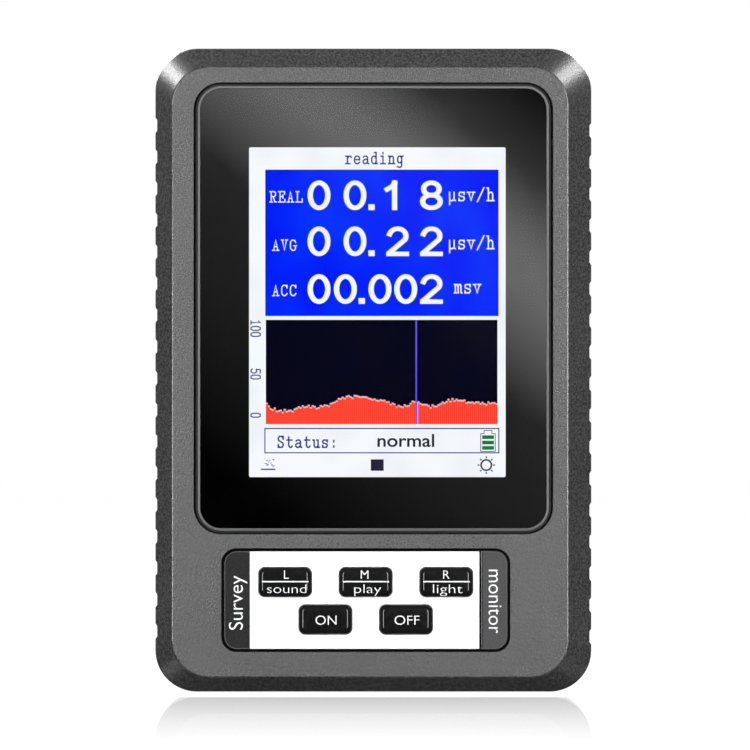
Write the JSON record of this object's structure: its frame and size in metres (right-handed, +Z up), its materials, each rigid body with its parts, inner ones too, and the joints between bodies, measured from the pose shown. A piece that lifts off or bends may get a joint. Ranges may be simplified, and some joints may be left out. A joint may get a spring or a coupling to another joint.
{
  "type": "geiger counter",
  "caption": "Hand-held radiation meter: ribbed two-part case, large flush window over a colour display, sprung keys below, sealed counter tube inside, charging port underneath.",
  "frame": {"origin": "middle of the body's box at its lowest face, on the flat it stands on", "axes": "+X to the right seen from the front, +Y from the front to the back, +Z up"},
  "size_m": [0.08, 0.026, 0.118],
  "materials": {
    "housing_plastic": "fine sandy mould texture",
    "screw_steel": "zinc plated",
    "rear_film": "satin film",
    "window_glass": "polished",
    "black_print": "printed on the back of the window",
    "black_tape": "adhesive tape",
    "black_foam": "closed-cell foam",
    "display_face": "lit display",
    "diffuser_white": "frosted",
    "stamped_steel": "bright stamped sheet",
    "black_plastic": "moulded",
    "ribbon_amber": "polyimide film",
    "connector_cream": "moulded",
    "panel_film": "satin film",
    "label_white": "printed film",
    "board_green": "solder mask",
    "chip_black": "moulded package",
    "chip_ceramic": "fired",
    "ferrite": "sintered",
    "copper_wire": "enamelled copper",
    "capacitor_blue": "dipped",
    "tube_glass": "thin drawn glass",
    "cathode_steel": "rolled sheet",
    "anode_wire": "drawn wire",
    "cap_nickel": "nickel plated",
    "cell_foil": "laminated foil",
    "lead_red": "insulated wire",
    "lead_black": "insulated wire",
    "port_steel": "drawn shell",
    "key_gloss_black": "polished",
    "plunger_white": "moulded",
    "spring_steel": "sprung sheet"
  },
  "bodies": {
    "housing": {"front_shell": "housing_plastic", "back_shell": "housing_plastic", "case_screws": "screw_steel", "rear_label": "rear_film", "display_window": "window_glass", "window_mask": "black_print", "window_tape": "black_tape", "display_gasket": "black_foam", "display_cell": "display_face", "display_backlight": "diffuser_white", "display_frame": "stamped_steel", "display_carrier": "black_plastic", "display_flex": "ribbon_amber", "flex_connector": "connector_cream", "keypad_panel": "panel_film", "key_label": "label_white", "switch_bases": "black_plastic", "switch_covers": "stamped_steel", "main_board": "board_green", "board_screws": "screw_steel", "chips": "chip_black", "small_parts": "chip_ceramic", "converter_core": "ferrite", "converter_winding": "copper_wire", "capacitors": "capacitor_blue", "crystal_can": "stamped_steel", "tube_envelope": "tube_glass", "tube_cathode": "cathode_steel", "tube_anode": "anode_wire", "tube_caps": "cap_nickel", "tube_clips": "stamped_steel", "battery_cell": "cell_foil", "battery_pad": "black_foam", "battery_header": "connector_cream", "battery_plug": "connector_cream", "battery_lead_red": "lead_red", "battery_lead_black": "lead_black", "port_shell": "port_steel", "port_tongue": "black_plastic", "sounder_case": "black_plastic", "sounder_disc": "stamped_steel", "sounder_coil": "copper_wire", "dome_sound": "spring_steel", "dome_play": "spring_steel", "dome_light": "spring_steel", "dome_on": "spring_steel", "dome_off": "spring_steel"},
    "key_sound_body": {"key_sound": "key_gloss_black", "plunger_sound": "plunger_white"},
    "key_play_body": {"key_play": "key_gloss_black", "plunger_play": "plunger_white"},
    "key_light_body": {"key_light": "key_gloss_black", "plunger_light": "plunger_white"},
    "key_on_body": {"key_on": "key_gloss_black", "plunger_on": "plunger_white"},
    "key_off_body": {"key_off": "key_gloss_black", "plunger_off": "plunger_white"}
  },
  "joints": [
    {"name": "press_sound", "type": "slide", "parent": "housing", "child": "key_sound_body", "axis": [0, 1, 0], "range_m": [0, 0.0005], "stiffness_N_per_m": 1500, "springref_m": -0.0004, "deforming": ["dome_sound"]},
    {"name": "press_play", "type": "slide", "parent": "housing", "child": "key_play_body", "axis": [0, 1, 0], "range_m": [0, 0.0005], "stiffness_N_per_m": 1500, "springref_m": -0.0004, "deforming": ["dome_play"]},
    {"name": "press_light", "type": "slide", "parent": "housing", "child": "key_light_body", "axis": [0, 1, 0], "range_m": [0, 0.0005], "stiffness_N_per_m": 1500, "springref_m": -0.0004, "deforming": ["dome_light"]},
    {"name": "press_on", "type": "slide", "parent": "housing", "child": "key_on_body", "axis": [0, 1, 0], "range_m": [0, 0.0005], "stiffness_N_per_m": 1500, "springref_m": -0.0004, "deforming": ["dome_on"]},
    {"name": "press_off", "type": "slide", "parent": "housing", "child": "key_off_body", "axis": [0, 1, 0], "range_m": [0, 0.0005], "stiffness_N_per_m": 1500, "springref_m": -0.0004, "deforming": ["dome_off"]}
  ]
}
